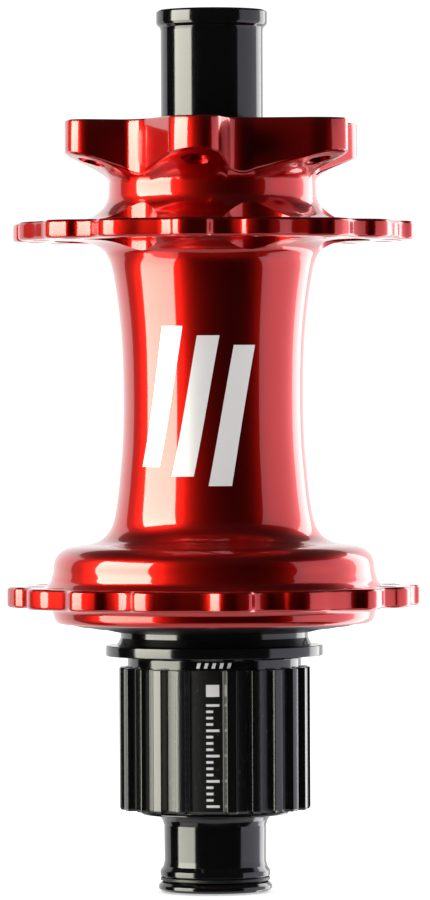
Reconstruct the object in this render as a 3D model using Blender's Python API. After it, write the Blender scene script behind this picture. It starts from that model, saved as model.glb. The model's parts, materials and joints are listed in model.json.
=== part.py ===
"""Rear bicycle hub, 148 x 12 mm thru-axle, six-bolt disc mount, narrow-spline freehub.

The hub axis is Z and the disc brake side is +Z.  The origin is on the axis,
midway between the two end faces.  Sizes are in millimetres and are scaled to
metres as each mesh is made.  Angles are in degrees from -Y towards +X.
"""
import bpy
import bmesh
from math import acos, atan2, cos, degrees, hypot, pi, radians, sin
from mathutils import Matrix, Vector

MM = 0.001

# ---- driving dimensions (mm, degrees) ----
HALF_WIDTH = 74.0          # half of the 148 mm over-end-face width
THRU_R = 6.1               # bore for the 12 mm thru-axle
ROUND = 36                 # sides of a large round part
ROUND_SMALL = 24           # sides of a bearing or axle part
PRESS = 0.15               # radial gap kept between a pressed part and its seat

BEARING_R = 15.0           # outer radius of the 17 x 30 x 7 shell bearings
FH_BEARING_R = 13.0        # outer radius of the 17 x 26 x 5 freehub bearings
AXLE_R = 8.5               # bearing inner radius

DISC_FACE_Z = 55.25
DISC_BOLT_R = 22.0
DISC_HOLE_R = 2.2
DISC_PHASE = -7.0
# one arm of the mount and the valley after it, as arcs:
# centre along and across the arm, radius (below 0 where hollow), first and last normal, points
STAR_ARCS = [(20.0, 1.05, 6.6, -58.0, 0.0, 3), (23.3, 1.1, 3.3, 20.0, 83.0, 4),
             (18.68, 6.76, -1.8, 83.0, 40.0, 3), (22.05, 9.59, -6.2, 30.0, 2.0, 3)]

NDS_FLANGE = dict(top=38.35, bottom=35.25, radius=34.0, inner=15.6, phase=-11.5)
DS_FLANGE = dict(top=-22.75, bottom=-26.25, radius=34.9, inner=25.6, phase=0.3)
FLANGE_CHAMFER = 0.5
FLANGE_PERIOD = 45.0
# one period of the rim: angle, drop below the largest radius
FLANGE_RIM = [(-2.2, 1.5), (2.0, 0.0), (8.7, 0.0), (13.2, 2.4),
              (18.3, 2.4), (23.0, 0.6), (26.5, 0.6), (34.8, 1.5)]
SPOKE_R = 30.0
SPOKE_HOLE_R = 1.3
SPOKE_PHASE = 5.5
SPOKE_PITCH = 22.5

POCKET_R = 25.0            # centre of a pocket's inner arc
POCKET_RHO = 6.9
POCKET_OUTER = 26.6
POCKET_PHASE = -40.0

RATCHET_TEETH = 108
RATCHET_TIP = 20.9
RATCHET_ROOT = 21.6

PAWLS = 6
PAWL_PIVOT_R = 17.3
PAWL_HEEL = 1.7
PAWL_TOP, PAWL_BOTTOM = -20.0, -26.2
PAWL_PHASE = 30.0          # angle of the first pawl's pivot
PAWL_TIP = (6.25, 2.9)     # tip corner, tangential and radial from the pivot
TOOTH_PHASE = PAWL_PHASE + degrees(atan2(PAWL_TIP[0], PAWL_PIVOT_R + PAWL_TIP[1])) + 0.85

SPLINES = 23
SPLINE_OD = 16.1
SPLINE_ROOT = 14.8
SPLINE_PHASE = -5.4        # middle of the wide key way
SPLINE_TOP, SPLINE_BOTTOM = -36.5, -60.4

BALLS = 9


# ---- materials ----
def material(name, colour, metallic, roughness, coat=0.0):
    mat = bpy.data.materials.new(name)
    mat.use_nodes = True
    bsdf = mat.node_tree.nodes["Principled BSDF"]
    bsdf.inputs["Base Color"].default_value = (*colour, 1.0)
    bsdf.inputs["Metallic"].default_value = metallic
    bsdf.inputs["Roughness"].default_value = roughness
    bsdf.inputs["Coat Weight"].default_value = coat
    mat.diffuse_color = (*colour, 1.0)
    return mat


LOOKS = {
    "red": ((0.55, 0.012, 0.022), 1.0, 0.12, 0.6),
    "black": ((0.02, 0.02, 0.022), 0.6, 0.25, 0.3),
    "steel": ((0.56, 0.57, 0.58), 1.0, 0.22, 0.0),
    "spring": ((0.35, 0.36, 0.38), 1.0, 0.3, 0.0),
    "rubber": ((0.012, 0.012, 0.013), 0.0, 0.55, 0.0),
    "alloy": ((0.7, 0.71, 0.72), 1.0, 0.35, 0.0),
    "nylon": ((0.06, 0.07, 0.08), 0.0, 0.5, 0.0),
}


# ---- helpers ----
def place(r, angle, z=0.0):
    """A point at radius r and angle from -Y towards +X, in metres."""
    a = radians(angle)
    return (r * sin(a) * MM, -r * cos(a) * MM, z * MM)


def make_object(name, bm, look, smooth=True):
    bmesh.ops.recalc_face_normals(bm, faces=bm.faces)
    mesh = bpy.data.meshes.new(name)
    bm.to_mesh(mesh)
    bm.free()
    if smooth:
        mesh.shade_smooth()
        mesh.set_sharp_from_angle(angle=radians(28))
    mesh.materials.append(material(name + "_" + look, *LOOKS[look]))
    obj = bpy.data.objects.new(name, mesh)
    bpy.context.scene.collection.objects.link(obj)
    return obj


def lathe(name, outline, look, sides=ROUND, start=0.0):
    """Spin a closed (radius, z) outline round Z into one closed ring."""
    bm = bmesh.new()
    verts = [bm.verts.new(place(r, start, z)) for r, z in outline]
    edges = [bm.edges.new((verts[i - 1], verts[i])) for i in range(len(verts))]
    bmesh.ops.spin(bm, geom=verts + edges, cent=(0, 0, 0), axis=(0, 0, 1),
                   angle=2 * pi, steps=sides, use_merge=True)
    bmesh.ops.remove_doubles(bm, verts=bm.verts, dist=1e-7)
    return make_object(name, bm, look)


def prism(name, outline, low, high, look, hole=None):
    """Extrude a flat outline of (x, y) points in metres from z low to z high.

    With a hole, a second outline is left open through the middle."""
    bm = bmesh.new()
    loops = [outline] + ([hole] if hole else [])
    edges = []
    for loop in loops:
        verts = [bm.verts.new((x, y, low * MM)) for x, y in loop]
        edges += [bm.edges.new((verts[i - 1], verts[i])) for i in range(len(verts))]
    if hole:
        bmesh.ops.triangle_fill(bm, use_beauty=True, edges=edges, normal=(0, 0, 1))
    else:
        bm.faces.new([v for v in bm.verts])
    top = bmesh.ops.extrude_face_region(bm, geom=bm.faces[:])
    moved = [g for g in top["geom"] if isinstance(g, bmesh.types.BMVert)]
    bmesh.ops.translate(bm, verts=moved, vec=(0, 0, (high - low) * MM))
    return make_object(name, bm, look)


def merge_flat(obj, angle=0.1):
    """Join neighbouring faces that lie in one plane."""
    bm = bmesh.new()
    bm.from_mesh(obj.data)
    bmesh.ops.dissolve_limit(bm, angle_limit=radians(angle), verts=bm.verts, edges=bm.edges)
    bmesh.ops.triangulate(bm, faces=[f for f in bm.faces if len(f.verts) > 4])
    bm.to_mesh(obj.data)
    bm.free()
    return obj


def cutter(obj):
    obj.hide_render = True
    obj.display_type = 'WIRE'
    return obj


def combine(obj, other, operation):
    """Apply one exact boolean and remove the second object."""
    mod = obj.modifiers.new(operation.title(), 'BOOLEAN')
    mod.operation = operation
    mod.object = other
    mod.solver = 'EXACT'
    deps = bpy.context.evaluated_depsgraph_get()
    mesh = bpy.data.meshes.new_from_object(obj.evaluated_get(deps))
    obj.modifiers.remove(mod)
    old = obj.data
    name = old.name
    obj.data = mesh
    bpy.data.meshes.remove(old)
    mesh.name = name
    bpy.data.objects.remove(other, do_unlink=True)
    return obj


def cylinders(name, spots, radius, low, high, sides=8):
    """Several separate upright cylinders in one mesh, for cutting."""
    bm = bmesh.new()
    for x, y in spots:
        at = Matrix.Translation((x, y, (low + high) / 2 * MM))
        bmesh.ops.create_cone(bm, cap_ends=True, segments=sides,
                              radius1=radius * MM, radius2=radius * MM,
                              depth=(high - low) * MM, matrix=at)
    return cutter(make_object(name, bm, "steel", smooth=False))


def parent_keep(child, parent):
    child.parent = parent
    child.matrix_parent_inverse = parent.matrix_world.inverted()


def empty(name, at=(0, 0, 0)):
    obj = bpy.data.objects.new(name, None)
    obj.location = at
    obj.empty_display_size = 0.01
    bpy.context.scene.collection.objects.link(obj)
    bpy.context.view_layer.update()
    return obj


# ---- the shell ----
def shell_outline():
    """Barrel, neck and drive-side bulge, outside then inside."""
    outer = [(17.2, 54.9), (17.2, 46.4), (17.45, 45.0), (17.45, 43.0), (18.0, 41.5),
             (19.3, 40.0), (22.6, 38.1), (22.6, 35.5), (18.8, 33.9), (17.5, 32.5),
             (16.9, 30.5), (15.9, 23.8), (15.2, 14.5), (15.2, 4.5), (15.8, -4.6),
             (16.7, -11.0), (17.8, -13.7), (19.8, -15.4), (25.1, -16.4), (26.7, -18.1),
             (27.2, -20.6), (28.3, -22.3), (28.3, -24.5), (27.3, -26.9), (26.5, -29.0)]
    inner = [(25.2, -29.0), (25.2, -27.2), (24.05, -27.2), (24.05, -18.8), (18.4, -17.2),
             (15.0, -16.7), (15.0, -9.2), (12.7, -9.2), (12.7, 43.2), (15.0, 43.2),
             (15.0, 50.3), (15.7, 50.6), (15.7, 54.5), (15.9, 54.9)]
    return outer + inner


def star_outline():
    """Six swept arms: a broad arc and a tighter one at the tip, two hollow arcs after it."""
    points = []
    for arm in range(6):
        axis = DISC_PHASE + 60.0 * arm
        for centre_u, centre_v, radius, first, last, count in STAR_ARCS:
            for t in range(count):
                n = radians(first + (last - first) * t / (count - 1))
                u, v = centre_u + radius * cos(n), centre_v + radius * sin(n)
                points.append(place(hypot(u, v), axis + degrees(atan2(v, u)))[:2])
    return points


def disc_mount():
    ring = [place(16.3, 360.0 * k / ROUND)[:2] for k in range(ROUND)]
    star = prism("star", star_outline(), 44.0, DISC_FACE_Z, "red", hole=ring)
    limit = lathe("star_limit", [(27.5, 55.9), (27.5, 50.1), (18.6, 47.15), (16.9, 45.9),
                                 (15.9, 45.1), (15.9, 55.9)], "red", start=5.0)
    return combine(star, limit, 'INTERSECT')


def rim_points(flange):
    """The scalloped rim of one flange as (radius, angle)."""
    out = []
    for k in range(8):
        for phi, drop in FLANGE_RIM:
            angle = flange["phase"] + FLANGE_PERIOD * k + phi
            out.append((flange["radius"] - drop, angle))
    return out


def flange_plate(name, flange):
    rim = rim_points(flange)
    c = FLANGE_CHAMFER
    levels = [(flange["top"], c), (flange["top"] - c, 0.0),
              (flange["bottom"] + c, 0.0), (flange["bottom"], c)]
    bm = bmesh.new()
    loops = []
    for z, inset in levels:
        loops.append([bm.verts.new(place(r - inset, a, z)) for r, a in rim])
    for z in (flange["bottom"], flange["top"]):
        loops.append([bm.verts.new(place(flange["inner"], a, z)) for _, a in rim])
    for k, loop in enumerate(loops):
        after = loops[(k + 1) % len(loops)]
        for i in range(len(loop)):
            j = (i + 1) % len(loop)
            bm.faces.new((loop[i], loop[j], after[j], after[i]))
    return make_object(name, bm, "red")


def spoke_cutter(name, flange):
    spots = [place(SPOKE_R, flange["phase"] + SPOKE_PHASE + SPOKE_PITCH * k)[:2]
             for k in range(16)]
    return cylinders(name, spots, SPOKE_HOLE_R, flange["bottom"] - 2, flange["top"] + 2)


def pocket_cutter():
    """Six D-shaped windows through the disc-side flange web."""
    bm = bmesh.new()
    half = degrees(acos((POCKET_R ** 2 + POCKET_OUTER ** 2 - POCKET_RHO ** 2)
                        / (2 * POCKET_R * POCKET_OUTER)))
    for k in range(6):
        axis = POCKET_PHASE + 60.0 * k
        corner = degrees(atan2(POCKET_OUTER * sin(radians(half)),
                               POCKET_OUTER * cos(radians(half)) - POCKET_R))
        ring = []
        for t in range(9):
            n = corner + (360.0 - 2 * corner) * t / 8
            u = POCKET_R + POCKET_RHO * cos(radians(n))
            v = POCKET_RHO * sin(radians(n))
            ring.append(place(hypot(u, v), axis + degrees(atan2(v, u)), 32.0))
        ring += [place(POCKET_OUTER, axis + half * t, 32.0) for t in (-0.5, 0.0, 0.5)]
        face = bm.faces.new([bm.verts.new(p) for p in ring])
        top = bmesh.ops.extrude_face_region(bm, geom=[face])
        moved = [g for g in top["geom"] if isinstance(g, bmesh.types.BMVert)]
        bmesh.ops.translate(bm, verts=moved, vec=(0, 0, 10.6 * MM))
    return cutter(make_object("pocket_cutter", bm, "steel", smooth=False))


def build_shell():
    shell = lathe("hub_shell", shell_outline(), "red")
    for name, flange in (("nds_plate", NDS_FLANGE), ("ds_plate", DS_FLANGE)):
        combine(shell, flange_plate(name, flange), 'UNION')
    combine(shell, disc_mount(), 'UNION')
    combine(shell, pocket_cutter(), 'DIFFERENCE')
    bolts = [place(DISC_BOLT_R, DISC_PHASE + 60.0 * k)[:2] for k in range(6)]
    combine(shell, cylinders("bolt_cutter", bolts, DISC_HOLE_R, 40.0, 60.0, 10), 'DIFFERENCE')
    combine(shell, spoke_cutter("nds_spokes", NDS_FLANGE), 'DIFFERENCE')
    combine(shell, spoke_cutter("ds_spokes", DS_FLANGE), 'DIFFERENCE')
    return merge_flat(shell)


# ---- axle and end caps ----
def build_axle():
    a = AXLE_R - PRESS
    outline = [(a, 50.2), (a, 43.2), (9.6, 43.2), (9.6, -9.2), (a, -9.2), (a, -60.1),
               (7.45, -60.1), (7.45, -48.0), (6.7, -47.0), (6.7, 37.0), (7.45, 38.0), (7.45, 50.2)]
    return lathe("axle", outline, "alloy", ROUND_SMALL)


def build_nds_cap():
    outline = [(8.95, HALF_WIDTH), (9.35, 73.6), (9.35, 72.2), (8.65, 70.8),
               (8.6, 50.5), (7.2, 50.5), (7.2, 46.2), (6.75, 46.2), (6.75, 45.2),
               (7.2, 45.2), (7.2, 42.0), (THRU_R, 42.0), (THRU_R, 73.4), (6.7, HALF_WIDTH)]
    return lathe("nds_end_cap", outline, "black", ROUND_SMALL)


def build_ds_cap():
    outline = [(THRU_R, -73.4), (THRU_R, -52.0), (7.2, -52.0), (7.2, -55.2),
               (6.75, -55.2), (6.75, -56.2), (7.2, -56.2), (7.2, -60.4), (12.4, -60.7),
               (12.4, -61.1), (9.2, -61.7), (8.6, -63.6),
               (8.6, -69.3), (9.28, -70.7), (9.28, -71.4), (8.5, -71.6),
               (8.5, -72.4), (9.5, -72.8), (9.55, -73.6), (9.15, -HALF_WIDTH),
               (6.7, -HALF_WIDTH)]
    return lathe("ds_end_cap", outline, "black", ROUND_SMALL)


def build_cap_rings():
    o_ring = [(7.4, 0.0), (7.15, 0.35), (6.9, 0.0), (7.15, -0.35)]
    rings = []
    for name, z in (("nds_cap_oring", 45.7), ("ds_cap_oring", -55.7)):
        rings.append(lathe(name, [(r, z + dz) for r, dz in o_ring], "rubber", ROUND_SMALL))
    grip = [(9.15, -71.75), (9.15, -72.25), (8.8, -72.25), (8.8, -71.75)]
    rings.append(lathe("ds_cap_grip_ring", grip, "rubber", ROUND_SMALL))
    shield = [(15.3, 51.0), (15.3, 51.8), (10.4, 52.3), (8.9, 52.3), (8.9, 51.0)]
    rings.append(lathe("nds_dust_shield", shield, "black", ROUND_SMALL))
    return rings


def build_spacers():
    spacers = []
    for name, low, high in (("drive_side_spacer", -19.5, -16.7), ("freehub_spacer", -54.8, -24.9)):
        outline = [(AXLE_R, low), (9.7, low), (9.7, high), (AXLE_R, high)]
        spacers.append(lathe(name, outline, "alloy", ROUND_SMALL))
    return spacers


# ---- bearings ----
def race(name, inner, shoulder, groove, outer, low, high, inside):
    """A ball race; the groove is on the outside of an inner race, and the reverse."""
    mid = (low + high) / 2
    track = [(shoulder, mid + 1.1), (groove, mid), (shoulder, mid - 1.1)]
    if inside:
        outline = [(inner, high), (shoulder, high)] + track + [(shoulder, low), (inner, low)]
    else:
        outline = [(outer, low), (shoulder, low)] + track[::-1] + [(shoulder, high), (outer, high)]
    return lathe(name, outline, "steel", ROUND_SMALL)


def balls(name, centre_r, ball_r, z):
    """Balls held in a cage ring, joined into one body."""
    bm = bmesh.new()
    for k in range(BALLS):
        at = Matrix.Translation(place(centre_r, 360.0 * k / BALLS, z))
        bmesh.ops.create_uvsphere(bm, u_segments=6, v_segments=4, radius=ball_r * MM, matrix=at)
    group = make_object(name + "_group", bm, "steel")
    cage = [(centre_r + 0.4, z - 0.55), (centre_r + 0.4, z + 0.55),
            (centre_r - 0.4, z + 0.55), (centre_r - 0.4, z - 0.55)]
    body = lathe(name, cage, "nylon", ROUND_SMALL)
    return combine(body, group, 'UNION')


def bearing(prefix, low, high, sizes, seal_side):
    outer_r, shoulder_out, groove_out, centre, ball_r, groove_in, shoulder_in = sizes
    z = (low + high) / 2
    parts = {
        "outer": race(prefix + "_outer_race", 0, shoulder_out, groove_out,
                      outer_r - PRESS, low, high, False),
        "inner": race(prefix + "_inner_race", AXLE_R, shoulder_in, groove_in, 0, low, high, True),
        "balls": balls(prefix + "_balls", centre, ball_r, z),
    }
    edge = high - 0.2 if seal_side > 0 else low + 0.6
    seal = [(shoulder_in + 0.2, edge), (shoulder_out - 0.2, edge),
            (shoulder_out - 0.2, edge - 0.4), (shoulder_in + 0.2, edge - 0.4)]
    parts["seal"] = lathe(prefix + "_seal", seal, "rubber", ROUND_SMALL)
    return parts


def build_bearings():
    shell_sizes = (BEARING_R, 13.0, 13.6, 11.8, 1.55, 10.0, 10.6)
    fh_sizes = (FH_BEARING_R, 11.75, 12.25, 10.85, 1.15, 9.45, 9.95)
    return {
        "nds": bearing("nds_bearing", 43.5, 50.1, shell_sizes, 1),
        "ds": bearing("ds_bearing", -16.4, -9.5, shell_sizes, -1),
        "fh_in": bearing("freehub_inner_bearing", -24.6, -19.8, fh_sizes, 1),
        "fh_out": bearing("freehub_outer_bearing", -59.9, -55.1, fh_sizes, -1),
    }


# ---- ratchet ----
def build_drive_ring():
    """Steel ring with 108 saw teeth inside; the steep faces meet the pawls."""
    inner = []
    pitch = 360.0 / RATCHET_TEETH
    for k in range(RATCHET_TEETH):
        inner.append(place(RATCHET_TIP, pitch * (k + 0.12) + TOOTH_PHASE)[:2])
        inner.append(place(RATCHET_ROOT, pitch * k + TOOTH_PHASE)[:2])
    outer = [place(24.05 - PRESS, 360.0 * k / ROUND)[:2] for k in range(ROUND)]
    return prism("drive_ring", outer, -26.9, -19.2, "steel", hole=inner[::-1])


def pawl_frame(k):
    """The pivot point of pawl k, and its radial and tangential directions."""
    a = radians(360.0 * k / PAWLS + PAWL_PHASE)
    radial = Vector((sin(a), -cos(a), 0))
    tangent = Vector((cos(a), sin(a), 0))
    return radial * PAWL_PIVOT_R * MM, radial, tangent


def pawl_outline():
    """Tangential and radial offsets from the pivot."""
    heel = [(PAWL_HEEL * cos(radians(a)), PAWL_HEEL * sin(radians(a)))
            for a in range(110, 301, 38)]
    return heel + [(6.55, 1.2), PAWL_TIP, (5.6, 2.7)]


def spring_outline():
    return [(2.0, -1.32), (6.3, -0.01), (6.4, -0.3), (2.1, -1.62)]


def pocket_outline():
    heel = [(2.05 * cos(radians(a)), 2.05 * sin(radians(a))) for a in range(130, 271, 28)]
    return heel + [(1.0, -2.15), (7.0, -0.35), (7.25, 4.0), (-1.6, 4.0)]


def ratchet_piece(name, outline, k, low, high, look):
    pivot, radial, tangent = pawl_frame(k)
    points = [pivot + tangent * t * MM + radial * h * MM for t, h in outline]
    return prism(name, [(p.x, p.y) for p in points], low, high, look)


def centre_on(obj, at):
    """Move an object's origin without moving its surface."""
    obj.data.transform(Matrix.Translation(-Vector(at)))
    obj.location = at


def build_pawls(carrier):
    for k in range(PAWLS):
        pivot, _, _ = pawl_frame(k)
        pawl = ratchet_piece(f"pawl_{k + 1}", pawl_outline(), k, PAWL_BOTTOM, PAWL_TOP, "steel")
        centre_on(pawl, pivot)
        spring = ratchet_piece(f"pawl_spring_{k + 1}", spring_outline(), k,
                               PAWL_BOTTOM + 1.5, PAWL_TOP - 1.5, "spring")
        for piece in (pawl, spring):
            bpy.context.view_layer.update()
            parent_keep(piece, carrier)


# ---- freehub ----
def spline_outline():
    """Narrow splines round the cassette seat, with one left out as a wide key way."""
    points = [place(SPLINE_ROOT, SPLINE_PHASE + off)[:2] for off in (-5.6, 0.0, 5.6)]
    pitch = 360.0 / SPLINES
    for k in range(1, SPLINES):
        centre = SPLINE_PHASE + pitch * k
        for r, off in ((SPLINE_ROOT, -0.30), (SPLINE_OD, -0.175),
                       (SPLINE_OD, 0.175), (SPLINE_ROOT, 0.30)):
            points.append(place(r, centre + off * pitch)[:2])
    return points


def build_freehub():
    outer = [(20.2, -19.6), (20.2, -27.0), (17.4, -27.6), (15.9, -28.2), (15.9, -32.7),
             (18.0, -32.7), (18.3, -33.0), (18.3, -34.3), (18.0, -34.55), (14.65, -34.55),
             (14.65, -60.1)]
    inner = [(13.0, -60.1), (13.0, -54.8), (11.6, -54.8), (11.6, -24.9), (13.0, -24.9),
             (13.0, -19.6)]
    body = lathe("freehub_body", outer + inner, "black")
    ring = [place(13.8, 360.0 * k / ROUND)[:2] for k in range(ROUND)]
    splines = prism("splines", spline_outline(), SPLINE_BOTTOM, SPLINE_TOP, "black", hole=ring)
    combine(body, splines, 'UNION')
    for k in range(PAWLS):
        cut = ratchet_piece(f"pawl_pocket_{k}", pocket_outline(), k, -26.5, -19.0, "black")
        combine(body, cutter(cut), 'DIFFERENCE')
    return merge_flat(body)


def build_seal():
    outline = [(24.8, -28.5), (24.8, -29.05), (22.6, -29.6), (22.4, -29.45), (20.2, -29.9),
               (20.0, -29.75), (16.3, -30.5), (16.2, -28.5)]
    return lathe("freehub_seal", outline, "rubber")


# ---- assembly ----
def build():
    for obj in list(bpy.data.objects):
        bpy.data.objects.remove(obj, do_unlink=True)
    fixed = empty("axle_group")
    shell_spin = empty("shell_spin")
    freehub_spin = empty("freehub_spin")
    parts = build_bearings()
    for obj in [build_axle(), build_nds_cap(), build_ds_cap()] + build_cap_rings() + build_spacers():
        parent_keep(obj, fixed)
    for group in parts.values():
        parent_keep(group["inner"], fixed)
        parent_keep(group["balls"], fixed)
    for obj in (build_shell(), build_drive_ring()):
        parent_keep(obj, shell_spin)
    for key, holder in (("nds", shell_spin), ("ds", shell_spin),
                        ("fh_in", freehub_spin), ("fh_out", freehub_spin)):
        parent_keep(parts[key]["outer"], holder)
        parent_keep(parts[key]["seal"], holder)
    for obj in (build_freehub(), build_seal()):
        parent_keep(obj, freehub_spin)
    build_pawls(freehub_spin)


build()
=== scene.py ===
"""Looks for a rear bicycle hub: fine surfaces, anodised finishes, camera and studio.

Sizes in this file are in millimetres and become metres as each mesh is made.
Angles are in degrees round the hub axis, from -Y (the camera's side) towards +X.
"""
import json
from math import acos, atan2, cos, degrees, hypot, pi, radians, sin, tan

import bmesh
import bpy
from mathutils import Matrix, Vector


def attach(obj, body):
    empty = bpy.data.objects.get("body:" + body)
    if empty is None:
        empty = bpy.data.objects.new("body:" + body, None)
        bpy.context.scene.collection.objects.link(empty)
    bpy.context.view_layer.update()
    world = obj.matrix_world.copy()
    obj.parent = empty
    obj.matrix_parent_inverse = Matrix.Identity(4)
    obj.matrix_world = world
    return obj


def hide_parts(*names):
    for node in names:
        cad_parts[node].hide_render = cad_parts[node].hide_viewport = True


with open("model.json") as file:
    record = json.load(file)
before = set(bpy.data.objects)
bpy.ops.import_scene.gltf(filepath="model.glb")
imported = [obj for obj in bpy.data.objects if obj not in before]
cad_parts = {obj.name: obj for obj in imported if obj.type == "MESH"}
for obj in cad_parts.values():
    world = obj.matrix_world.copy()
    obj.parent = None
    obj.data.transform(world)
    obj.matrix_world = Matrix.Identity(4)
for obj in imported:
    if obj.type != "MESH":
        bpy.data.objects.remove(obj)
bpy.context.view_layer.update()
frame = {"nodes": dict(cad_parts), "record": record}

MM = 0.001
SIDES = 240                # steps round a large turned piece
FINE = 120                 # steps round a small turned piece
SHARP = 28.0               # edges turn sharp above this angle

AXLE_BODY, SHELL_BODY, DRIVER_BODY = "axle_group", "shell_group", "freehub_group"

# disc-side and drive-side spoke flanges
NDS_FLANGE = dict(top=38.35, bottom=35.25, radius=34.0, inner=26.6, phase=-11.5)
DS_FLANGE = dict(top=-22.75, bottom=-26.25, radius=34.85, inner=26.4, phase=0.3)
FLANGE_PERIOD = 45.0
FLANGE_EDGE, EDGE_STEPS = 0.6, 5   # round on the rim's edges
RIM_STEPS = 150            # points on one period of the rim
# one period of the rim: angle, and how steeply the rim falls there, in degrees
RIM_SLOPES = [(3.0, -3.0), (6.0, 17.0), (9.3, 18.0), (10.7, 50.0), (12.1, 20.0),
              (15.5, 6.0), (17.6, -18.0), (19.5, -24.0), (20.7, -40.0), (21.9, -24.0),
              (23.2, -20.0), (25.8, -4.0), (28.0, 8.0), (33.0, 12.0), (36.0, 3.0),
              (40.0, 0.0), (41.0, -5.0), (43.5, -22.0), (45.0, -42.0), (46.5, -20.0),
              (48.0, -3.0)]
SPOKES, SPOKE_R, SPOKE_HOLE_R, SPOKE_SINK = 16, 30.0, 1.3, 0.45
SPOKE_PHASE, SPOKE_PITCH = 5.5, 22.5

# windows in the disc-side web
POCKETS, POCKET_R, POCKET_RHO, POCKET_PHASE, POCKET_OUTER = 6, 25.0, 6.9, -40.0, 26.6
POCKET_LOW, POCKET_HIGH = 31.5, 43.0

# six-armed disc mount
ARMS, DISC_FACE_Z = 6, 55.25
DISC_PHASE, DISC_BOLT_R = -7.0, 22.0
BOLT_MINOR, BOLT_MAJOR, BOLT_PITCH = 2.1, 2.5, 0.8
BOLT_SINK, BOLT_LAST_TURN, BOLT_END = 0.4, 46.5, 45.5
# one arm and the valley after it, as arcs: centre along and across the arm,
# radius (below 0 where hollow), first and last normal, points
STAR_ARCS = [(20.0, 1.05, 6.6, -58.0, 0.0, 20), (23.3, 1.1, 3.3, 2.0, 83.0, 16),
             (18.68, 6.76, -1.8, 83.0, 40.0, 9), (22.05, 9.59, -6.2, 38.0, 2.0, 16)]
STAR_EDGE = 0.35           # chamfer on the arms and on the bore
STAR_BORE, STAR_FOOT, STAR_FOOT_TOP = 15.9, 16.6, 54.6

# splined driver
SPLINES, SPLINE_PHASE = 23, -5.4
SPLINE_OD, SPLINE_ROOT = 16.1, 14.8
SPLINE_TOP, SPLINE_BOTTOM = -36.4, -60.4

THRU_R = 6.1
CARRIER_CUT_Z = -27.5      # the pawl carrier is the CAD driver above this height
COLLAR_R = 14.65           # the driver between its lip and its splines
DRIVER_BORE = 11.6
SEAT_R, SEAT_TOP = 13.0, -54.8     # the driver's outer bearing seat

# plain bars on the barrel: left side at the top, width, lean, top and bottom
BARREL_BARS = [(-33.0, 14.0, 16.0, 20.8, -2.6), (-10.0, 14.0, 16.0, 19.2, -4.2),
               (13.0, 14.0, 16.0, 17.6, -5.8)]
MARK_DEPTH, MARK_HEIGHT = 0.02, 0.04
# the scale on the driver: every fourth tick is long, and a block stands over it
TICKS, TICK_TOP, TICK_PITCH, TICK_HEIGHT = 17, -42.0, 1.05, 0.42
TICK_ANGLE, TICK_LONG, TICK_SHORT = -5.5, 8.5, 4.5
BLOCK_TOP, BLOCK_BOTTOM = 3.2, 1.2
# five short leaning ticks on the collar
COLLAR_TICKS, COLLAR_TICK_ANGLE, COLLAR_TICK_PITCH = 5, -11.0, 5.0
COLLAR_TICK_WIDTH, COLLAR_TICK_LEAN = 2.2, 1.0
COLLAR_TICK_TOP, COLLAR_TICK_BOTTOM = -35.2, -36.1
# studio: upright panels at CARD_R, from CARD_BOTTOM to CARD_TOP
CARD_R, CARD_TOP, CARD_BOTTOM = 450.0, 250.0, -500.0
DARK = (0.008, 0.008, 0.008)
FLOOR_Z = -74.3


# ---- geometry helpers ----
def place(r, angle, z=0.0):
    """A point at radius r and angle from -Y towards +X, in metres."""
    a = radians(angle)
    return (r * sin(a) * MM, -r * cos(a) * MM, z * MM)


def spline(points, steps=6):
    """A smooth curve through the points (Catmull-Rom with chord-length spacing)."""
    pts = [Vector(p) for p in points]
    ends = [2 * pts[0] - pts[1]] + pts + [2 * pts[-1] - pts[-2]]
    out = []
    for i in range(1, len(ends) - 2):
        p0, p1, p2, p3 = ends[i - 1:i + 3]
        t1 = (p1 - p0).length ** 0.5
        t2 = t1 + (p2 - p1).length ** 0.5
        t3 = t2 + (p3 - p2).length ** 0.5
        for k in range(steps):
            t = t1 + (t2 - t1) * k / steps
            a1 = p0 * ((t1 - t) / t1) + p1 * (t / t1)
            a2 = p1 * ((t2 - t) / (t2 - t1)) + p2 * ((t - t1) / (t2 - t1))
            a3 = p2 * ((t3 - t) / (t3 - t2)) + p3 * ((t - t2) / (t3 - t2))
            b1 = a1 * ((t2 - t) / t2) + a2 * (t / t2)
            b2 = a2 * ((t3 - t) / (t3 - t1)) + a3 * ((t - t1) / (t3 - t1))
            out.append(tuple(b1 * ((t2 - t) / (t2 - t1)) + b2 * ((t - t1) / (t2 - t1))))
    return out + [tuple(pts[-1])]


def rounded(points, radius, steps=4):
    """A closed outline with each corner rounded by that radius."""
    out = []
    count = len(points)
    for i in range(count):
        p = Vector(points[i])
        before, after = Vector(points[i - 1]) - p, Vector(points[(i + 1) % count]) - p
        turn = before.angle(after)
        reach = min(radius / max(0.1, abs(sin(turn / 2) / cos(turn / 2))),
                    0.45 * before.length, 0.45 * after.length)
        if turn > radians(176) or reach < 0.01:
            out.append(tuple(p))
            continue
        a, b = p + before.normalized() * reach, p + after.normalized() * reach
        for k in range(steps + 1):
            t = k / steps
            out.append(tuple((1 - t) ** 2 * a + 2 * t * (1 - t) * p + t * t * b))
    return out


def grid(name, loops):
    """A closed skin over rings of equal length; the last ring joins the first."""
    bm = bmesh.new()
    rings = [[bm.verts.new(p) for p in loop] for loop in loops]
    for k, ring in enumerate(rings):
        after = rings[(k + 1) % len(rings)]
        for i in range(len(ring)):
            j = (i + 1) % len(ring)
            bm.faces.new((ring[i], ring[j], after[j], after[i]))
    return to_object(name, bm)


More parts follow.
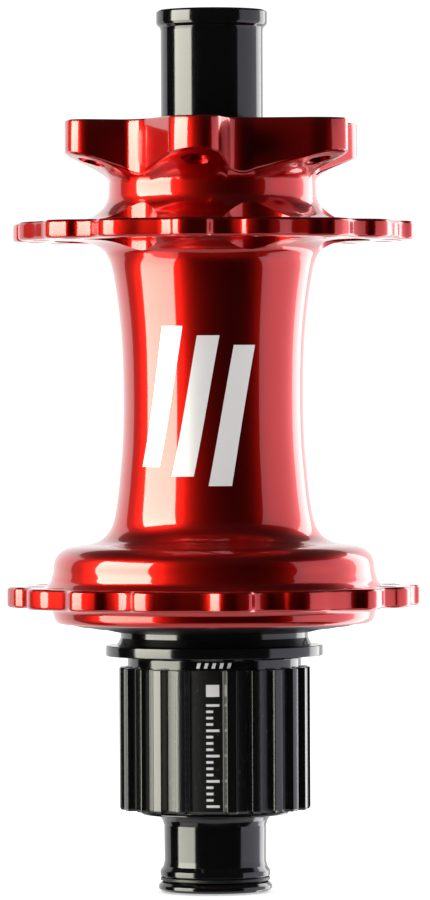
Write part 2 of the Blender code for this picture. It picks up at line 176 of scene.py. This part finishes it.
def capped(name, loops):
    """A closed skin over rings of equal length, with the first and the last capped."""
    bm = bmesh.new()
    rings = [[bm.verts.new(p) for p in loop] for loop in loops]
    for a, b in zip(rings, rings[1:]):
        for i in range(len(a)):
            j = (i + 1) % len(a)
            bm.faces.new((a[i], a[j], b[j], b[i]))
    bm.faces.new(rings[0])
    bm.faces.new(rings[-1])
    return to_object(name, bm)


def to_object(name, bm):
    """The mesh as an object in the scene, with its normals outwards."""
    bmesh.ops.recalc_face_normals(bm, faces=bm.faces)
    mesh = bpy.data.meshes.new(name)
    bm.to_mesh(mesh)
    bm.free()
    obj = bpy.data.objects.new(name, mesh)
    bpy.context.scene.collection.objects.link(obj)
    return obj


def lathe(name, outline, sides=SIDES):
    """A closed turned piece from a closed outline of (radius, z)."""
    angles = [360.0 * k / sides for k in range(sides)]
    return grid(name, [[place(r, a, z) for a in angles] for r, z in outline])


def cut(obj, cutters):
    """Cuts the cutters out of obj and removes them."""
    for cutter in cutters:
        modifier = obj.modifiers.new("cut", 'BOOLEAN')
        modifier.operation = 'DIFFERENCE'
        modifier.solver = 'EXACT'
        modifier.object = cutter
    graph = bpy.context.evaluated_depsgraph_get()
    mesh = bpy.data.meshes.new_from_object(obj.evaluated_get(graph))
    obj.modifiers.clear()
    obj.data = mesh
    mesh.name = obj.name
    for cutter in cutters:
        bpy.data.objects.remove(cutter)


def join(name, parts):
    """Parts that don't touch, as one object."""
    bm = bmesh.new()
    for part in parts:
        bm.from_mesh(part.data)
        bpy.data.objects.remove(part)
    return to_object(name, bm)


def drills(name, outline, radius, angles, sides):
    """Drill shapes with that outline of (radius, z), one at each angle, as one object."""
    turn = [2 * pi * i / sides for i in range(sides)]
    shapes = []
    for angle in angles:
        x, y, _ = place(radius, angle)
        shapes.append(capped(name, [[(x + r * cos(a) * MM, y + r * sin(a) * MM, z * MM)
                                     for a in turn] for r, z in outline]))
    return join(name, shapes)


def finish_piece(obj, material, body, nodes=()):
    """Shading, finish and the body it moves with."""
    obj.data.shade_smooth()
    obj.data.set_sharp_from_angle(angle=radians(SHARP))
    obj.data.materials.clear()
    obj.data.materials.append(material)
    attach(obj, body)
    if nodes:
        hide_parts(*nodes)


# ---- materials ----
class Nodes:
    """A small helper that adds nodes to one material."""

    def __init__(self, name):
        self.material = bpy.data.materials.new(name)
        self.material.use_nodes = True
        self.tree = self.material.node_tree
        self.bsdf = self.tree.nodes["Principled BSDF"]
        self.coords = self.tree.nodes.new("ShaderNodeTexCoord")

    def add(self, kind, values=(), **settings):
        node = self.tree.nodes.new(kind)
        for key, value in settings.items():
            setattr(node, key, value)
        for key, value in dict(values).items():
            node.inputs[key].default_value = value
        return node

    def link(self, a, b):
        self.tree.links.new(a, b)

    def stretched(self, scale):
        """Object coordinates in metres, scaled on each axis."""
        mapping = self.add("ShaderNodeMapping", {"Scale": scale})
        self.link(self.coords.outputs["Object"], mapping.inputs["Vector"])
        return mapping.outputs["Vector"]

    def noise(self, scale, size, detail=3.0, rough=0.55):
        node = self.add("ShaderNodeTexNoise",
                        {"Scale": size, "Detail": detail, "Roughness": rough})
        self.link(self.stretched(scale), node.inputs["Vector"])
        return node.outputs["Fac"]

    def ramp(self, value, low, high, source=(0.35, 0.65)):
        node = self.add("ShaderNodeMapRange",
                        {"From Min": source[0], "From Max": source[1],
                         "To Min": low, "To Max": high})
        self.link(value, node.inputs["Value"])
        return node.outputs["Result"]

    def blend(self, value, low, high):
        node = self.add("ShaderNodeMix", data_type='RGBA')
        node.inputs["A"].default_value = (*low, 1.0)
        node.inputs["B"].default_value = (*high, 1.0)
        self.link(value, node.inputs["Factor"])
        return node.outputs["Result"]

    def bump(self, value, strength, distance):
        node = self.add("ShaderNodeBump", {"Strength": strength, "Distance": distance})
        self.link(value, node.inputs["Height"])
        return node.outputs["Normal"]

    def set(self, **values):
        for key, value in values.items():
            self.bsdf.inputs[key.replace("_", " ")].default_value = value


def metal(name, dark, light, rough, turned=0.15, coat=0.0, metallic=1.0,
          coat_ior=1.5, specular=0.5):
    """Machined metal: slow colour drift, turning lines along the axis and a fine grain."""
    n = Nodes(name)
    drift = n.noise((1, 1, 1), 60.0, 2.0)
    lines = n.noise((0.02, 0.02, 1.0), 5000.0, 2.0)
    fine = n.noise((1, 1, 1), 6000.0, 4.0, 0.7)
    n.link(n.blend(drift, dark, light), n.bsdf.inputs["Base Color"])
    n.link(n.ramp(fine, rough[0], rough[1], (0.3, 0.7)), n.bsdf.inputs["Roughness"])
    n.link(n.bump(lines, turned, 2e-5), n.bsdf.inputs["Normal"])
    n.set(Metallic=metallic, Coat_Weight=coat, Coat_Roughness=0.05, Coat_IOR=coat_ior,
          Specular_IOR_Level=specular)
    return n.material


def driver_finish():
    """Black anodising, glossier on the turned lands and grainy down in the valleys."""
    n = Nodes("black_anodised_driver")
    spread = n.add("ShaderNodeSeparateXYZ")
    n.link(n.stretched((1000, 1000, 1000)), spread.inputs["Vector"])
    flat = n.add("ShaderNodeCombineXYZ")
    n.link(spread.outputs["X"], flat.inputs["X"])
    n.link(spread.outputs["Y"], flat.inputs["Y"])
    radius = n.add("ShaderNodeVectorMath", operation='LENGTH')
    n.link(flat.outputs["Vector"], radius.inputs[0])
    low = n.ramp(radius.outputs["Value"], 1.0, 0.0, (SPLINE_ROOT + 0.1, SPLINE_ROOT + 0.5))
    specks = n.noise((1, 1, 0.45), 2600.0, 3.0, 0.8)
    bright = n.ramp(specks, 0.0, 1.0, (0.62, 0.74))
    mask = n.add("ShaderNodeMath", operation='MULTIPLY')
    n.link(low, mask.inputs[0])
    n.link(bright, mask.inputs[1])
    n.link(n.blend(mask.outputs["Value"], (0.003, 0.003, 0.0032), (0.10, 0.10, 0.105)),
           n.bsdf.inputs["Base Color"])
    n.link(n.ramp(low, 0.16, 0.36, (0.0, 1.0)), n.bsdf.inputs["Roughness"])
    n.link(n.bump(specks, 0.25, 4e-5), n.bsdf.inputs["Normal"])
    n.set(Metallic=0.0, Specular_IOR_Level=0.7)
    return n.material


def soft(name, colour, rough):
    """Moulded rubber or plastic with a fine grain."""
    n = Nodes(name)
    grain = n.noise((1, 1, 1), 4000.0, 3.0)
    lighter = tuple(c * 2.0 + 0.002 for c in colour)
    n.link(n.blend(grain, colour, lighter), n.bsdf.inputs["Base Color"])
    n.link(n.ramp(grain, rough - 0.08, rough + 0.08), n.bsdf.inputs["Roughness"])
    n.link(n.bump(grain, 0.2, 3e-5), n.bsdf.inputs["Normal"])
    n.set(Metallic=0.0)
    return n.material


RED = metal("red_anodised", (0.58, 0.009, 0.005), (0.64, 0.011, 0.007), (0.34, 0.37),
            turned=0.02, coat=1.0, coat_ior=1.6)
BLACK = metal("black_anodised", (0.0015, 0.0015, 0.0018), (0.0035, 0.0035, 0.004), (0.08, 0.14),
              turned=0.15, metallic=0.0, specular=0.62)
DRIVER = driver_finish()
ALLOY = metal("plain_alloy", (0.66, 0.67, 0.68), (0.76, 0.77, 0.78), (0.25, 0.38), turned=0.5)
RACE = metal("bearing_steel", (0.55, 0.56, 0.57), (0.63, 0.64, 0.65), (0.10, 0.2))
BALLS = metal("caged_balls", (0.62, 0.63, 0.64), (0.7, 0.71, 0.72), (0.05, 0.1), turned=0.0)
TOOL = metal("tool_steel", (0.30, 0.30, 0.31), (0.42, 0.41, 0.40), (0.22, 0.4), turned=0.3)
SPRING = metal("spring_steel", (0.38, 0.39, 0.42), (0.5, 0.5, 0.52), (0.2, 0.32))
RUBBER = soft("seal_rubber", (0.004, 0.004, 0.0045), 0.42)
MARK = metal("silver_marking", (0.78, 0.77, 0.76), (0.84, 0.83, 0.82), (0.32, 0.42),
             turned=0.1, metallic=0.4)


# ---- hub shell ----
def rim_drops():
    """How far the rim lies below its largest radius, as a share of it, over one period."""
    step = FLANGE_PERIOD / RIM_STEPS
    drops, total = [], 0.0
    for k in range(RIM_STEPS):
        phi = RIM_SLOPES[0][0] + (k + 0.5) * step
        i = max(j for j in range(len(RIM_SLOPES) - 1) if RIM_SLOPES[j][0] <= phi)
        (a0, s0), (a1, s1) = RIM_SLOPES[i:i + 2]
        drops.append(total)
        total += tan(radians(s0 + (s1 - s0) * (phi - a0) / (a1 - a0))) * radians(step)
    closed = [d - total * k / RIM_STEPS for k, d in enumerate(drops)]
    return [d - min(closed) for d in closed]


def flange_rim(flange):
    """The rim as points (radius, angle)."""
    drops = rim_drops()
    step = FLANGE_PERIOD / RIM_STEPS
    start = flange["phase"] + RIM_SLOPES[0][0]
    return [(flange["radius"] * (1.0 - drops[k % RIM_STEPS]), start + step * k)
            for k in range(int(360.0 / FLANGE_PERIOD) * RIM_STEPS)]


def inset(points, distance):
    """Moves a closed outline inwards along its normals; points are (x, y) in mm."""
    out = []
    for i, p in enumerate(points):
        a, b = Vector(points[i - 1]), Vector(points[(i + 1) % len(points)])
        along = (b - a).normalized()
        out.append((p[0] - along.y * distance, p[1] + along.x * distance))
    return out


def polar_xy(r, angle):
    """A point at radius r and angle from -Y towards +X, as (x, y) in mm."""
    x, y, _ = place(r, angle)
    return (x / MM, y / MM)


def raise_to(points, z):
    """Points (x, y) in mm as points at height z, in metres."""
    return [(x * MM, y * MM, z * MM) for x, y in points]


def spoke_cutters(flange):
    """Drilled holes with a small countersink on each face."""
    top, bottom = flange["top"], flange["bottom"]
    past = 0.6             # how far the cutter runs on beyond each face
    wide = SPOKE_HOLE_R + SPOKE_SINK + past
    outline = [(wide, top + past), (SPOKE_HOLE_R, top - SPOKE_SINK),
               (SPOKE_HOLE_R, bottom + SPOKE_SINK), (wide, bottom - past)]
    angles = [flange["phase"] + SPOKE_PHASE + SPOKE_PITCH * k for k in range(SPOKES)]
    return drills("spoke_cutters", outline, SPOKE_R, angles, 32)


def build_flange(name, flange):
    """A spoke flange: scalloped rim with rounded edges, and the spoke holes."""
    outline = flange_rim(flange)
    rim = [polar_xy(r, a) for r, a in outline]
    ring = [polar_xy(flange["inner"], a) for _, a in outline]
    top, bottom = flange["top"], flange["bottom"]
    arc = [radians(90.0 * k / EDGE_STEPS) for k in range(EDGE_STEPS + 1)]
    loops = [raise_to(inset(rim, FLANGE_EDGE * (1 - sin(t))), top - FLANGE_EDGE * (1 - cos(t)))
             for t in arc]
    loops += [raise_to(inset(rim, FLANGE_EDGE * (1 - cos(t))),
                       bottom + FLANGE_EDGE * (1 - sin(t))) for t in arc]
    loops += [raise_to(ring, bottom), raise_to(ring, top)]
    plate = grid(name, loops)
    cut(plate, [spoke_cutters(flange)])
    finish_piece(plate, RED, SHELL_BODY)


def shell_profile():
    """Neck, webs, barrel, bulge and skirt outside, then the bearing seats inside."""
    neck = spline([(17.2, 46.0), (17.42, 45.0), (17.45, 43.8), (17.57, 42.6), (17.8, 41.9),
                   (18.2, 41.15), (19.0, 40.3), (20.5, 39.3), (22.5, 38.65), (24.9, 38.36)])
    web = [(27.4, 38.32), (27.4, 35.28)]
    barrel = spline([(24.9, 35.24), (22.4, 35.12), (20.4, 34.78), (18.95, 34.1),
                     (18.1, 33.4), (17.6, 32.5), (17.15, 31.4), (16.64, 29.1), (16.04, 25.1),
                     (15.6, 21.2), (15.3, 17.0), (15.15, 11.0), (15.15, 6.5), (15.34, 0.8),
                     (15.69, -3.2), (16.11, -7.3), (16.76, -11.3), (17.3, -12.9),
                     (18.1, -14.1), (19.3, -15.05), (21.0, -15.6), (23.0, -15.9),
                     (24.7, -16.3), (25.9, -17.0), (26.65, -17.9), (27.0, -19.0),
                     (27.12, -20.2), (27.35, -21.1), (27.6, -21.9), (28.2, -22.7)])
    skirt = spline([(28.0, -26.3), (27.35, -26.9), (27.15, -27.5), (26.95, -28.2),
                    (26.6, -28.75), (26.2, -29.0)])
    inner = [(25.3, -29.0), (25.1, -28.8), (25.1, -27.2), (24.05, -27.2), (24.05, -18.8),
             (18.4, -17.2), (15.0, -16.7), (15.0, -9.2), (12.7, -9.2), (12.7, 43.2),
             (15.0, 43.2), (15.0, 50.3), (15.7, 50.6), (15.7, 54.3), (17.2, 54.3)]
    return neck + web + barrel + [(28.6, -23.2), (28.6, -25.8)] + skirt + inner


def pocket_cutters():
    """Rounded windows between the web's six ribs, with a straight wall."""
    cutters = []
    outer = POCKET_OUTER + 2.0
    half = degrees(acos((POCKET_R ** 2 + outer ** 2 - POCKET_RHO ** 2)
                        / (2 * POCKET_R * outer)))
    corner = degrees(atan2(outer * sin(radians(half)), outer * cos(radians(half)) - POCKET_R))
    steps = 40
    for k in range(POCKETS):
        axis = POCKET_PHASE + 360.0 / POCKETS * k
        outline = []
        for t in range(steps + 1):
            n = radians(corner + (360.0 - 2 * corner) * t / steps)
            u, v = POCKET_R + POCKET_RHO * cos(n), POCKET_RHO * sin(n)
            outline.append(polar_xy(hypot(u, v), axis + degrees(atan2(v, u))))
        outline += [polar_xy(outer, axis + half * (t / 4 - 1)) for t in range(1, 8)]
        cutters.append(capped("pocket", [raise_to(outline, POCKET_LOW),
                                         raise_to(outline, POCKET_HIGH)]))
    return join("pockets", cutters)


def build_body():
    """The shell between the flanges, in place of the CAD's hub_shell."""
    body = lathe("hub_body", shell_profile())
    cut(body, [pocket_cutters()])
    finish_piece(body, RED, SHELL_BODY, ["hub_shell"])


def star_outline():
    """Six swept arms: a broad arc and a tighter one at the tip, two hollow arcs after it."""
    points = []
    for arm in range(ARMS):
        axis = DISC_PHASE + 360.0 / ARMS * arm
        for centre_u, centre_v, radius, first, last, count in STAR_ARCS:
            for t in range(count):
                n = radians(first + (last - first) * t / (count - 1))
                u, v = centre_u + radius * cos(n), centre_v + radius * sin(n)
                points.append((hypot(u, v), axis + degrees(atan2(v, u))))
    return points


def underside(limit):
    """The mount's conical underside and the fillet into the neck, inwards from limit."""
    count = 14             # points from the limit to the neck
    path = [(28.0, 50.15)] + spline([(20.4, 47.72), (18.9, 47.1), (18.15, 46.45),
                                     (17.65, 45.75), (17.43, 45.1), (17.40, 44.0)], 8)
    start = next(i for i in range(len(path) - 1) if path[i + 1][0] <= limit)
    (r0, z0), (r1, z1) = path[start], path[start + 1]
    first = (limit, z0 + (z1 - z0) * (r0 - limit) / (r0 - r1))
    rest = [first] + path[start + 1:]
    lengths = [0.0]
    for a, b in zip(rest, rest[1:]):
        lengths.append(lengths[-1] + hypot(b[0] - a[0], b[1] - a[1]))
    out = []
    for k in range(count):
        target = lengths[-1] * (k / (count - 1))
        i = max(j for j in range(len(rest) - 1) if lengths[j] <= target + 1e-9)
        t = (target - lengths[i]) / max(1e-9, lengths[i + 1] - lengths[i])
        out.append((rest[i][0] + (rest[i + 1][0] - rest[i][0]) * t,
                    rest[i][1] + (rest[i + 1][1] - rest[i][1]) * t))
    return out


def bolt_cutters():
    """Threaded rotor-bolt holes with a countersink at the top face."""
    z = DISC_FACE_Z - BOLT_SINK
    outline = [(BOLT_MAJOR + 1.4, DISC_FACE_Z + 1.0), (BOLT_MAJOR, z)]
    while z > BOLT_LAST_TURN:
        outline += [(BOLT_MINOR, z - 0.5 * BOLT_PITCH), (BOLT_MAJOR, z - BOLT_PITCH)]
        z -= BOLT_PITCH
    outline.append((BOLT_MINOR, BOLT_END))
    angles = [DISC_PHASE + 360.0 / ARMS * k for k in range(ARMS)]
    return drills("bolts", outline, DISC_BOLT_R, angles, 40)


def build_star():
    """The six-armed disc mount with its bolt holes."""
    outline = star_outline()
    flat = [polar_xy(r, a) for r, a in outline]
    loops = [raise_to(inset(flat, STAR_EDGE), DISC_FACE_Z),
             raise_to(inset(flat, 0.25 * STAR_EDGE), DISC_FACE_Z - 0.45 * STAR_EDGE),
             raise_to(flat, DISC_FACE_Z - STAR_EDGE)]
    below = [underside(r) for r, _ in outline]
    lower_edge = inset(flat, 0.25)
    for points, lift in ((flat, 0.3), (lower_edge, 0.0)):
        loops.append([(x * MM, y * MM, (below[i][0][1] + lift) * MM)
                      for i, (x, y) in enumerate(points)])
    for k in range(1, len(below[0])):
        loops.append([place(below[i][k][0], a, below[i][k][1])
                      for i, (_, a) in enumerate(outline)])
    for r, z in ((STAR_FOOT, 44.0), (STAR_FOOT, STAR_FOOT_TOP), (STAR_BORE, STAR_FOOT_TOP),
                 (STAR_BORE, DISC_FACE_Z - STAR_EDGE), (STAR_BORE + STAR_EDGE, DISC_FACE_Z)):
        loops.append([place(r, a, z) for _, a in outline])
    star = grid("disc_mount", loops)
    cut(star, [bolt_cutters()])
    finish_piece(star, RED, SHELL_BODY)


# ---- driver ----
def spline_section():
    """The spline outline: narrow ribs with one left out as a wide key way."""
    pitch = 360.0 / SPLINES
    foot, land = 0.31, 0.185           # half widths of a rib, as shares of the pitch
    points = []
    for k in range(1, SPLINES):
        centre = SPLINE_PHASE + pitch * k
        for r, off in ((SPLINE_ROOT, -foot), (SPLINE_OD, -land),
                       (SPLINE_OD, land), (SPLINE_ROOT, foot)):
            points.append((r, centre + off * pitch))
    last = SPLINE_PHASE + pitch * (SPLINES - 1) + foot * pitch
    first = SPLINE_PHASE + 360.0 + pitch - foot * pitch
    for t in range(1, 12):
        points.append((SPLINE_ROOT, last + (first - last) * t / 12))
    return rounded([polar_xy(r, a) for r, a in points], 0.16, 3)


def build_driver():
    """The splined part and the collar over it, in place of the CAD's freehub_body."""
    section = spline_section()
    small, bottom = inset(section, 0.35), SPLINE_BOTTOM + 0.1
    angles = [degrees(atan2(x, -y)) for x, y in section]

    def ring(r, z):
        return [place(r, a, z) for a in angles]

    loops = [ring(DRIVER_BORE, SPLINE_TOP), raise_to(inset(section, 0.12), SPLINE_TOP),
             raise_to(section, SPLINE_TOP - 0.12), raise_to(section, bottom + 0.4),
             raise_to(small, bottom), ring(SEAT_R + 0.3, bottom), ring(SEAT_R, bottom + 0.3),
             ring(SEAT_R, SEAT_TOP), ring(DRIVER_BORE, SEAT_TOP)]
    ribs = grid("driver_splines", loops)
    finish_piece(ribs, DRIVER, DRIVER_BODY, ["freehub_body"])
    neck = rounded([(19.2, -27.4), (15.8, -28.4), (15.8, -31.4), (16.2, -32.2), (16.45, -32.7),
                    (18.3, -32.7), (18.3, -34.5), (15.0, -34.5), (COLLAR_R, -34.9),
                    (COLLAR_R, -36.6), (DRIVER_BORE, -36.6), (DRIVER_BORE, -27.4)], 0.22)
    collar = lathe("driver_collar", neck)
    finish_piece(collar, BLACK, DRIVER_BODY)


def build_pawl_carrier():
    """The hidden upper end of the driver, with the pawl pockets, from the CAD solid."""
    mesh = frame["nodes"]["freehub_body"].data.copy()
    stored_normals = mesh.attributes.get("custom_normal")
    if stored_normals:     # they no longer fit once the mesh is cut
        mesh.attributes.remove(stored_normals)
    bm = bmesh.new()
    bm.from_mesh(mesh)
    bmesh.ops.remove_doubles(bm, verts=bm.verts, dist=1e-7)
    bmesh.ops.bisect_plane(bm, geom=bm.verts[:] + bm.edges[:] + bm.faces[:],
                           plane_co=(0, 0, CARRIER_CUT_Z * MM), plane_no=(0, 0, 1),
                           clear_inner=True)
    edges = [e for e in bm.edges if e.is_boundary]
    bmesh.ops.triangle_fill(bm, edges=edges, use_beauty=True, normal=(0, 0, -1))
    obj = to_object("pawl_carrier", bm)
    finish_piece(obj, BLACK, DRIVER_BODY)


def build_seal():
    """The stepped rubber seal between the driver and the shell."""
    outline = rounded([(24.8, -28.5), (24.8, -29.05), (22.7, -29.55), (22.5, -29.4),
                       (20.2, -29.9), (20.0, -29.75), (16.35, -30.5), (16.2, -28.5)], 0.1, 3)
    seal = lathe("driver_seal", outline)
    finish_piece(seal, RUBBER, DRIVER_BODY, ["freehub_seal"])


# ---- markings ----
def barrel_radius(z):
    """Radius of the barrel at height z, between the two flanges."""
    line = [p for p in shell_profile() if 15.05 < p[0] < 17.3 and -12.0 < p[1] < 31.0]
    for (r0, z0), (r1, z1) in zip(line, line[1:]):
        if z1 <= z <= z0:
            return r0 + (r1 - r0) * (z0 - z) / (z0 - z1)
    return line[0][0]


def printed_bar(radius, angle, width, lean, high, low, columns=10, rows=24):
    """A thin slanted bar laid on a turned surface; angle is its left side at the top."""
    bm = bmesh.new()
    levels = [(k / rows, high + (low - high) * k / rows) for k in range(rows + 1)]
    skins = []
    for lift in (-MARK_DEPTH, MARK_HEIGHT):
        skins.append([[bm.verts.new(place(radius(z) + lift,
                                          angle + width * i / columns - lean * t, z))
                       for i in range(columns + 1)] for t, z in levels])
    for skin in skins:
        for a, b in zip(skin, skin[1:]):
            for i in range(columns):
                bm.faces.new((a[i], a[i + 1], b[i + 1], b[i]))
    under, over = skins
    borders = [(under[0], over[0]), (under[-1], over[-1]),
               ([row[0] for row in under], [row[0] for row in over]),
               ([row[-1] for row in under], [row[-1] for row in over])]
    for a, b in borders:
        for i in range(len(a) - 1):
            bm.faces.new((a[i], a[i + 1], b[i + 1], b[i]))
    return to_object("bar", bm)


def build_marks():
    """Plain bars in place of print: three on the barrel, a scale on the driver."""
    bars = [printed_bar(barrel_radius, *bar) for bar in BARREL_BARS]
    finish_piece(join("barrel_bars", bars), MARK, SHELL_BODY)

    def on_driver(_):
        return SPLINE_ROOT

    def on_collar(_):
        return COLLAR_R

    ticks = []
    for k in range(TICKS):
        width = TICK_LONG if k % 4 == 0 else TICK_SHORT
        z = TICK_TOP - TICK_PITCH * k
        ticks.append(printed_bar(on_driver, TICK_ANGLE, width, 0.0, z, z - TICK_HEIGHT, 4, 1))
    ticks.append(printed_bar(on_driver, TICK_ANGLE, TICK_LONG, 0.0,
                             TICK_TOP + BLOCK_TOP, TICK_TOP + BLOCK_BOTTOM, 4, 1))
    for k in range(COLLAR_TICKS):
        ticks.append(printed_bar(on_collar, COLLAR_TICK_ANGLE + COLLAR_TICK_PITCH * k,
                                 COLLAR_TICK_WIDTH, COLLAR_TICK_LEAN,
                                 COLLAR_TICK_TOP, COLLAR_TICK_BOTTOM, 2, 1))
    finish_piece(join("driver_scale", ticks), MARK, DRIVER_BODY)


# ---- end caps ----
def build_caps():
    """Both end caps, the rubber ring in the lower one and the dust shield."""
    nds = rounded([(9.05, 74.0), (9.35, 73.7), (9.35, 71.95), (9.2, 71.5), (8.72, 71.1),
                   (8.6, 70.6), (8.6, 50.5), (7.2, 50.5), (7.2, 46.2), (6.75, 46.2),
                   (6.75, 45.2), (7.2, 45.2), (7.2, 42.0), (THRU_R, 42.0), (THRU_R, 73.4),
                   (6.7, 74.0)], 0.25)
    ds = rounded([(THRU_R, -73.4), (THRU_R, -52.0), (7.2, -52.0), (7.2, -55.2),
                  (6.75, -55.2), (6.75, -56.2), (7.2, -56.2), (7.2, -60.4), (12.4, -60.7),
                  (12.4, -61.1), (9.35, -61.5), (8.9, -62.15), (8.62, -62.95), (8.57, -68.9),
                  (8.75, -69.8), (9.28, -70.6), (9.28, -71.5), (8.5, -71.7), (8.5, -72.3),
                  (9.2, -72.6), (9.57, -73.1), (9.57, -73.6), (9.2, -74.0), (6.7, -74.0)], 0.2)
    for name, outline, node in (("disc_side_cap", nds, "nds_end_cap"),
                                ("drive_side_cap", ds, "ds_end_cap")):
        finish_piece(lathe(name, outline, FINE), BLACK, AXLE_BODY, [node])
    grip = rounded([(9.2, -71.72), (9.2, -72.28), (8.8, -72.28), (8.8, -71.72)], 0.2)
    finish_piece(lathe("grip_ring", grip, FINE), RUBBER, AXLE_BODY,
                 ["ds_cap_grip_ring"])
    shield = rounded([(15.3, 51.0), (15.3, 51.8), (14.5, 51.9), (14.2, 51.6), (11.9, 51.85),
                      (11.6, 52.2), (10.4, 52.3), (8.9, 52.3), (8.9, 51.0)], 0.12)
    finish_piece(lathe("dust_shield", shield, FINE), BLACK, AXLE_BODY,
                 ["nds_dust_shield"])


def paint_cad():
    """Finishes for the CAD pieces that stay."""
    by_slot = {"plain_alloy": ALLOY, "bearing_steel": RACE, "caged_balls": BALLS,
               "tool_steel": TOOL, "spring_steel": SPRING, "seal_rubber": RUBBER,
               "black_anodised": BLACK, "red_anodised": RED}
    slots = {s["node"]: s["material_slot"] for s in frame["record"]["subparts"]}
    for node, obj in frame["nodes"].items():
        obj.data.materials.clear()
        obj.data.materials.append(by_slot[slots[node]])


# ---- studio ----
def emission(name, colour, strength):
    """A material that only gives light."""
    material = bpy.data.materials.new(name)
    material.use_nodes = True
    tree = material.node_tree
    tree.nodes.remove(tree.nodes["Principled BSDF"])
    node = tree.nodes.new("ShaderNodeEmission")
    node.inputs["Color"].default_value = (*colour, 1.0)
    node.inputs["Strength"].default_value = strength
    tree.links.new(node.outputs["Emission"], tree.nodes["Material Output"].inputs["Surface"])
    return material


def graded(name, colour, low, high):
    """A panel graded in height: low is its strength 200 mm below the middle, high 200 above."""
    material = emission(name, colour, high)
    tree = material.node_tree
    coords = tree.nodes.new("ShaderNodeTexCoord")
    split = tree.nodes.new("ShaderNodeSeparateXYZ")
    ramp = tree.nodes.new("ShaderNodeMapRange")
    for socket, value in (("From Min", -0.2), ("From Max", 0.2),
                          ("To Min", low), ("To Max", high)):
        ramp.inputs[socket].default_value = value
    tree.links.new(coords.outputs["Object"], split.inputs["Vector"])
    tree.links.new(split.outputs["Z"], ramp.inputs["Value"])
    tree.links.new(ramp.outputs["Result"], tree.nodes["Emission"].inputs["Strength"])
    return material


def hide_from_camera(panel):
    """Seen only in reflections."""
    panel.visible_camera = False
    panel.visible_diffuse = False
    panel.visible_shadow = False


def card(name, start, end, low, high, material):
    """An upright curved panel round the hub, from azimuth start to end."""
    steps = max(2, int(abs(end - start) / 3))
    bm = bmesh.new()
    angles = [start + (end - start) * k / steps for k in range(steps + 1)]
    bottom = [bm.verts.new(place(CARD_R, a, low)) for a in angles]
    top = [bm.verts.new(place(CARD_R, a, high)) for a in angles]
    for i in range(steps):
        bm.faces.new((bottom[i], bottom[i + 1], top[i + 1], top[i]))
    panel = to_object(name, bm)
    panel.data.materials.append(material)
    hide_from_camera(panel)


def disc(name, z, radius, material):
    """A level round panel over or under the hub."""
    bm = bmesh.new()
    bmesh.ops.create_circle(bm, cap_ends=True, segments=64, radius=radius * MM)
    panel = to_object(name, bm)
    panel.location.z = z * MM
    panel.data.materials.append(material)
    hide_from_camera(panel)


def build_studio():
    """White surroundings, bright and dark panels for the reflections, and the floor."""
    world = bpy.data.worlds.new("studio")
    world.use_nodes = True
    background = world.node_tree.nodes["Background"]
    background.inputs["Color"].default_value = (1.0, 1.0, 1.0, 1.0)
    background.inputs["Strength"].default_value = 1.1
    bpy.context.scene.world = world
    top, bottom = CARD_TOP, CARD_BOTTOM
    dark = emission("dark_flag", DARK, 1.0)
    fill = graded("side_fill", (1.0, 0.98, 1.12), 1.2, 0.85)
    card("left_softbox", -91.5, -46.5, -310.0, top,
         graded("softbox", (1.0, 0.99, 0.85), 6.4, 13.6))
    card("left_flag", -121.0, -92.0, bottom, top, dark)
    card("front_flag", -46.0, 60.0, bottom, top, dark)
    card("right_fill", 60.5, 119.5, -330.0, top, fill)
    card("right_low", 60.5, 119.5, bottom, -331.0, dark)
    card("right_rim", 120.0, 146.0, bottom, top, emission("rim_light", (1.0, 1.0, 1.0), 4.0))
    disc("table", bottom + 20.0, 440.0, emission("table_light", (1.0, 1.0, 1.02), 0.7))
    disc("ceiling", top + 1.0, 460.0, emission("ceiling_dark", (0.03, 0.03, 0.03), 1.0))
    bm = bmesh.new()
    bmesh.ops.create_grid(bm, x_segments=24, y_segments=24, size=6.0)
    floor = to_object("floor", bm)
    floor.location = (0.0, 0.0, FLOOR_Z * MM)
    n = Nodes("floor_white")
    speck = n.noise((1, 1, 1), 30.0)
    n.link(n.blend(speck, (0.93, 0.93, 0.93), (0.95, 0.95, 0.95)), n.bsdf.inputs["Base Color"])
    n.set(Roughness=0.9, Emission_Color=(1.0, 1.0, 1.0, 1.0), Emission_Strength=0.5)
    floor.data.materials.append(n.material)
    floor.visible_glossy = False


def build_camera():
    """A long lens looking along +Y, level with the barrel."""
    data = bpy.data.cameras.new("camera")
    data.sensor_fit = 'VERTICAL'
    data.sensor_height = 36.0
    data.lens = 242.4
    data.clip_end = 30.0
    camera = bpy.data.objects.new("camera", data)
    bpy.context.scene.collection.objects.link(camera)
    aside, distance, height = 0.25, 1020.0, 7.9
    eye = Vector((aside * MM, -distance * MM, height * MM))
    tilt, roll = radians(-0.44), radians(-0.26)
    look = Vector((0.0, cos(tilt), sin(tilt)))
    turn = look.to_track_quat('-Z', 'Y').to_matrix().to_4x4()
    camera.matrix_world = Matrix.Translation(eye) @ turn @ Matrix.Rotation(roll, 4, 'Z')
    bpy.context.scene.camera = camera
    bpy.context.scene.view_settings.view_transform = 'Standard'


build_flange("disc_side_flange", NDS_FLANGE)
build_flange("drive_side_flange", DS_FLANGE)
build_body()
build_star()
build_driver()
build_pawl_carrier()
build_seal()
build_caps()
build_marks()
paint_cad()
build_studio()
build_camera()
